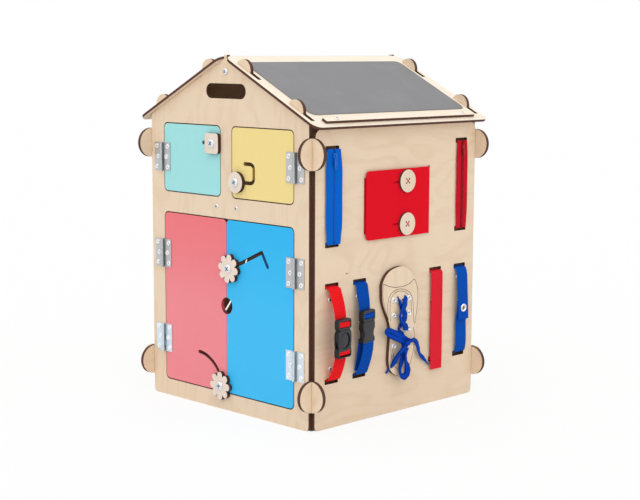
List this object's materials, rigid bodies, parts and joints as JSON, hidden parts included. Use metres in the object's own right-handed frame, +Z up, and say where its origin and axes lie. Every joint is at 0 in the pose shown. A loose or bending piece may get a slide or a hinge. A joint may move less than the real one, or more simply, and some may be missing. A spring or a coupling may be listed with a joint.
{
  "type": "activity house",
  "caption": "Plywood activity house: open-bottomed box with a gable roof, four hinged doors with sliding latches, and a wall of zips, buckles, straps, a buttoned flap and a lacing shoe.",
  "frame": {"origin": "middle of the footprint on the floor", "axes": "+Z up along the house's height, -Y out of the wall with the four doors, +X out of the wall with the straps"},
  "size_m": [0.4238, 0.4182, 0.5469],
  "materials": {
    "birch_plywood": "laser-cut birch plywood, unvarnished",
    "chalkboard_grey": "matt chalkboard sheet",
    "zinc_plated_steel": "bright zinc",
    "teal_paint": "painted plywood",
    "yellow_paint": "painted plywood",
    "coral_paint": "painted plywood",
    "blue_paint": "painted plywood",
    "red_webbing": "woven or felt",
    "blue_webbing": "woven",
    "black_plastic": "satin moulded acetal"
  },
  "bodies": {
    "house": {"back_gable_bolt": "zinc_plated_steel", "back_wall": "birch_plywood", "blue_buckle_plug": "black_plastic", "blue_hinge_lower_wall_leaf": "zinc_plated_steel", "blue_hinge_upper_wall_leaf": "zinc_plated_steel", "blue_strap_lower": "blue_webbing", "blue_strap_upper": "blue_webbing", "blue_zip_tape": "blue_webbing", "button_lower": "birch_plywood", "button_upper": "birch_plywood", "chalk_ledge": "birch_plywood", "chalkboard": "chalkboard_grey", "door_stop_block": "birch_plywood", "flap_over": "red_webbing", "flap_under": "red_webbing", "front_gable_bolt": "zinc_plated_steel", "front_wall": "birch_plywood", "lace_bow": "blue_webbing", "lace_ends": "blue_webbing", "lace_lacing": "blue_webbing", "left_wall": "birch_plywood", "red_band_inner": "red_webbing", "red_band_outer": "red_webbing", "red_buckle_plug": "black_plastic", "red_hinge_lower_wall_leaf": "zinc_plated_steel", "red_hinge_upper_wall_leaf": "zinc_plated_steel", "red_strap_lower": "red_webbing", "red_strap_upper": "red_webbing", "red_zip_tape": "red_webbing", "ridge_beam": "birch_plywood", "right_wall": "birch_plywood", "roof_left": "birch_plywood", "roof_right": "birch_plywood", "shoe_board": "birch_plywood", "snap_cap": "zinc_plated_steel", "snap_strap_lower": "blue_webbing", "snap_strap_upper": "blue_webbing", "teal_hinge_wall_leaf": "zinc_plated_steel", "yellow_hinge_wall_leaf": "zinc_plated_steel"},
    "teal_door": {"teal_door": "teal_paint", "teal_hinge_door_leaf": "zinc_plated_steel"},
    "yellow_door": {"yellow_door": "yellow_paint", "yellow_hinge_door_leaf": "zinc_plated_steel"},
    "red_door": {"red_door": "coral_paint", "red_hinge_upper_door_leaf": "zinc_plated_steel", "red_hinge_lower_door_leaf": "zinc_plated_steel"},
    "blue_door": {"blue_door": "blue_paint", "blue_hinge_upper_door_leaf": "zinc_plated_steel", "blue_hinge_lower_door_leaf": "zinc_plated_steel"},
    "teal_latch": {"teal_latch_knob": "birch_plywood", "teal_latch_bolt": "zinc_plated_steel"},
    "yellow_latch": {"yellow_latch_knob": "birch_plywood", "yellow_latch_bolt": "zinc_plated_steel"},
    "upper_flower": {"upper_flower_knob": "birch_plywood", "upper_flower_bolt": "zinc_plated_steel"},
    "lower_flower": {"lower_flower_knob": "birch_plywood", "lower_flower_bolt": "zinc_plated_steel"},
    "zip_slider": {"blue_zip_slider": "zinc_plated_steel"},
    "red_socket": {"red_buckle_socket": "black_plastic"},
    "blue_socket": {"blue_buckle_socket": "black_plastic"}
  },
  "joints": [
    {"name": "teal_door_hinge", "type": "hinge", "parent": "house", "child": "teal_door", "pos_m": [-0.152, -0.1893, 0.38615], "axis": [0, 0, -1], "range_deg": [0, 140]},
    {"name": "yellow_door_hinge", "type": "hinge", "parent": "house", "child": "yellow_door", "pos_m": [0.152, -0.1893, 0.38615], "axis": [0, 0, 1], "range_deg": [0, 140]},
    {"name": "red_door_hinge", "type": "hinge", "parent": "house", "child": "red_door", "pos_m": [-0.152, -0.1893, 0.16315], "axis": [0, 0, -1], "range_deg": [0, 140]},
    {"name": "blue_door_hinge", "type": "hinge", "parent": "house", "child": "blue_door", "pos_m": [0.152, -0.1893, 0.16315], "axis": [0, 0, 1], "range_deg": [0, 140]},
    {"name": "teal_latch_slide", "type": "slide", "parent": "teal_door", "child": "teal_latch", "axis": [-1, 0, 0], "range_m": [0, 0.026]},
    {"name": "yellow_latch_slide", "type": "slide", "parent": "yellow_door", "child": "yellow_latch", "axis": [1, 0, 0], "range_m": [0, 0.0275]},
    {"name": "upper_flower_slide", "type": "slide", "parent": "blue_door", "child": "upper_flower", "axis": [0.9118, 0, 0.4107], "range_m": [0, 0.0764]},
    {"name": "lower_flower_swing", "type": "hinge", "parent": "red_door", "child": "lower_flower", "pos_m": [-0.0684, -0.1863, 0.024], "axis": [0, -1, 0], "range_deg": [0, 74]},
    {"name": "zip_slider_slide", "type": "slide", "parent": "house", "child": "zip_slider", "axis": [0, 0, -1], "range_m": [0, 0.112]},
    {"name": "red_buckle_release", "type": "slide", "parent": "house", "child": "red_socket", "axis": [0, 0, -1], "range_m": [0, 0.022], "deforming": ["red_strap_lower"]},
    {"name": "blue_buckle_release", "type": "slide", "parent": "house", "child": "blue_socket", "axis": [0, 0, -1], "range_m": [0, 0.018], "deforming": ["blue_strap_lower"]}
  ],
  "couplings": [
    {"joint": "blue_door_hinge", "follows": "red_door_hinge", "ratio": 1}
  ]
}
